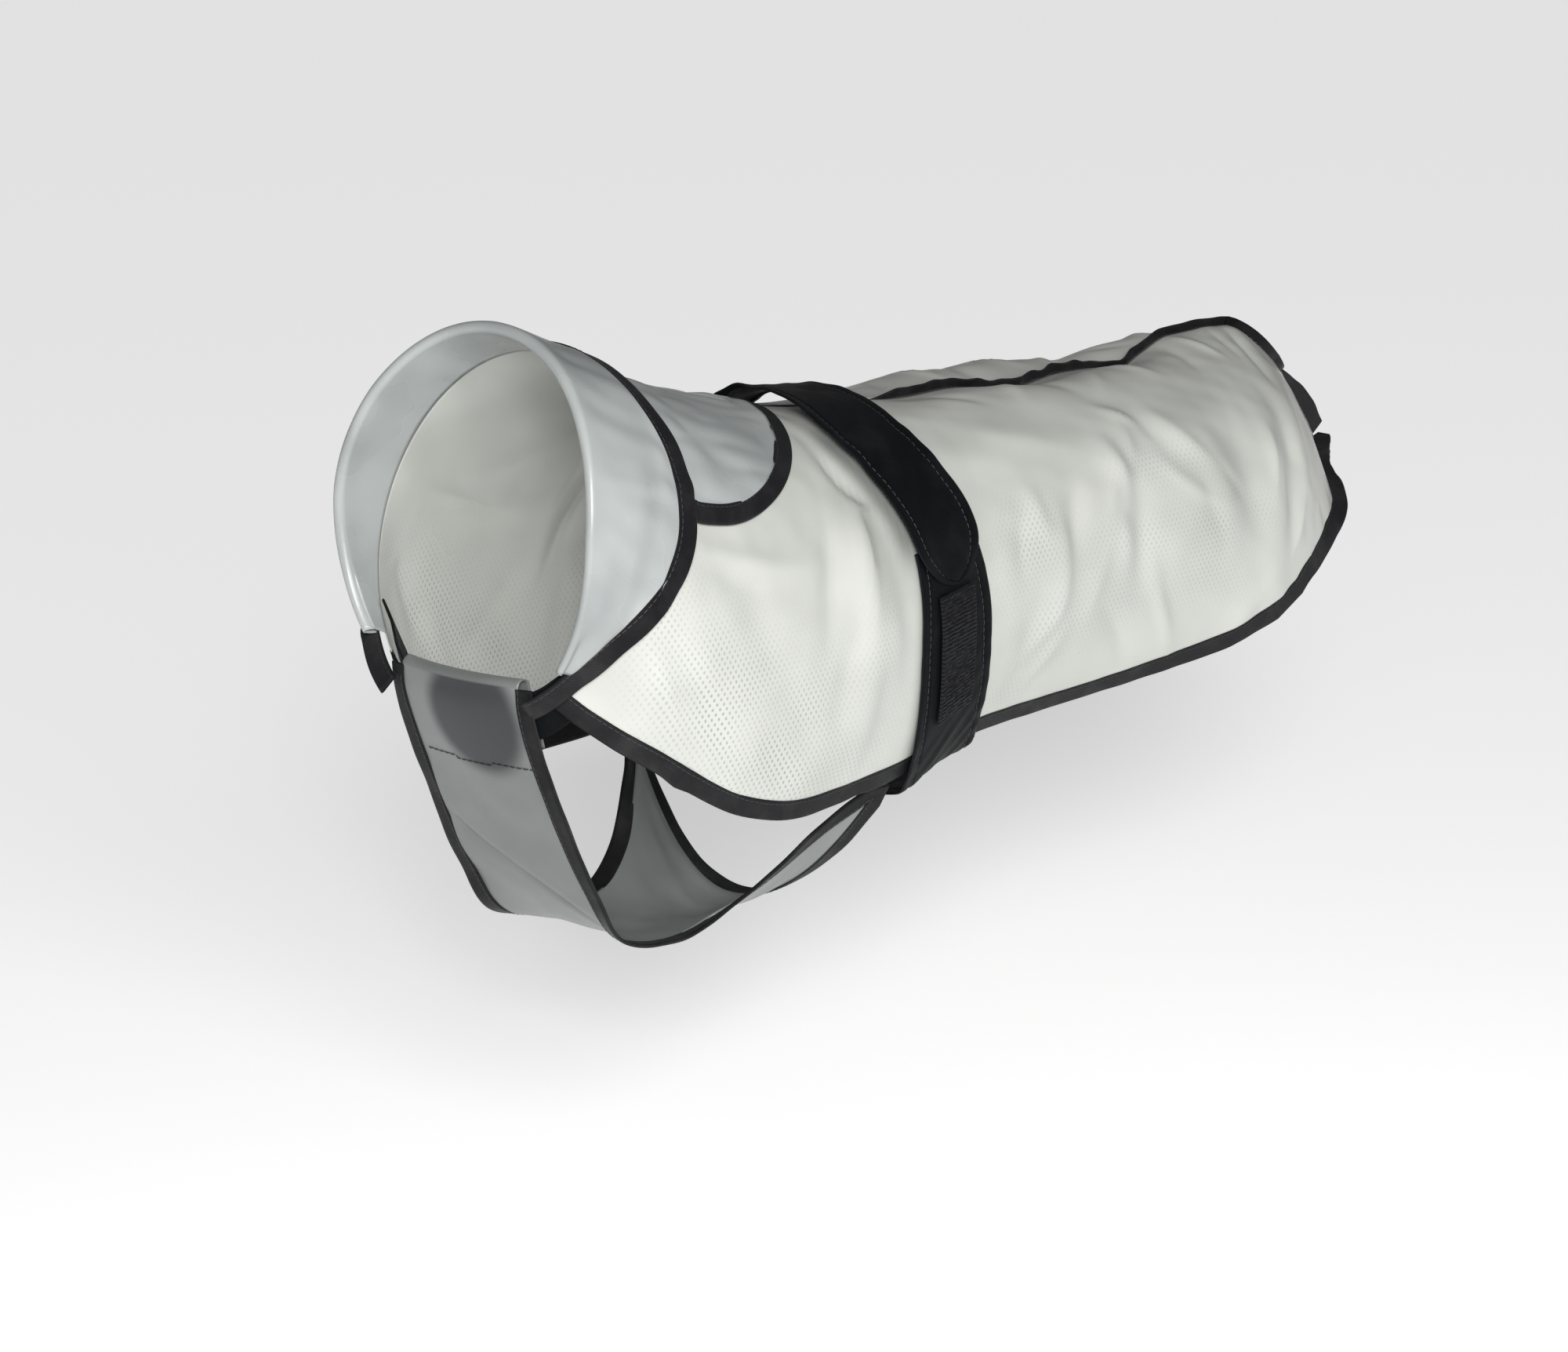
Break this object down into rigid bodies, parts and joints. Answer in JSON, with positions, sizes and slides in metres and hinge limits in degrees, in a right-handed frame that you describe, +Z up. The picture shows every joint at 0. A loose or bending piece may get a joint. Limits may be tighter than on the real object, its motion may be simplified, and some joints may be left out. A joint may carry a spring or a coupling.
{
  "type": "dog raincoat",
  "caption": "Dog raincoat of clear film over light mesh, bound in black tape, with folded collar, nape flap, nylon belt under the belly, chest panel with neck strap, and a hole for the tail.",
  "frame": {"origin": "on the coat's middle line, at the inner face of the back just behind the belt, where the coat lies on the wearer's back", "axes": "+X towards the tail end, +Y to the coat's right side (the belt's rounded end is on the -Y flank), +Z up"},
  "size_m": [0.7046, 0.2063, 0.3189],
  "materials": {
    "clear_film": "clear film over a light mesh, satin",
    "binding_tape": "fine twill tape, folded",
    "black_nylon": "smooth woven nylon, satin",
    "loop_pile": "hook-and-loop pile, matte"
  },
  "bodies": {
    "root": {"side_panel_left": "clear_film", "side_panel_right": "clear_film", "hem_binding_left": "binding_tape", "hem_binding_right": "binding_tape", "tail_hole_binding": "binding_tape", "back_seam_binding": "binding_tape", "tail_seam_binding": "binding_tape", "collar": "clear_film", "collar_binding": "binding_tape", "nape_flap": "clear_film", "nape_flap_binding": "binding_tape", "belt_back_strap": "black_nylon", "belt_belly_strap": "black_nylon", "belt_loop_strip": "loop_pile", "chest_panel": "clear_film", "chest_binding": "binding_tape", "neck_strap": "black_nylon", "neck_tab": "loop_pile"}
  },
  "joints": []
}
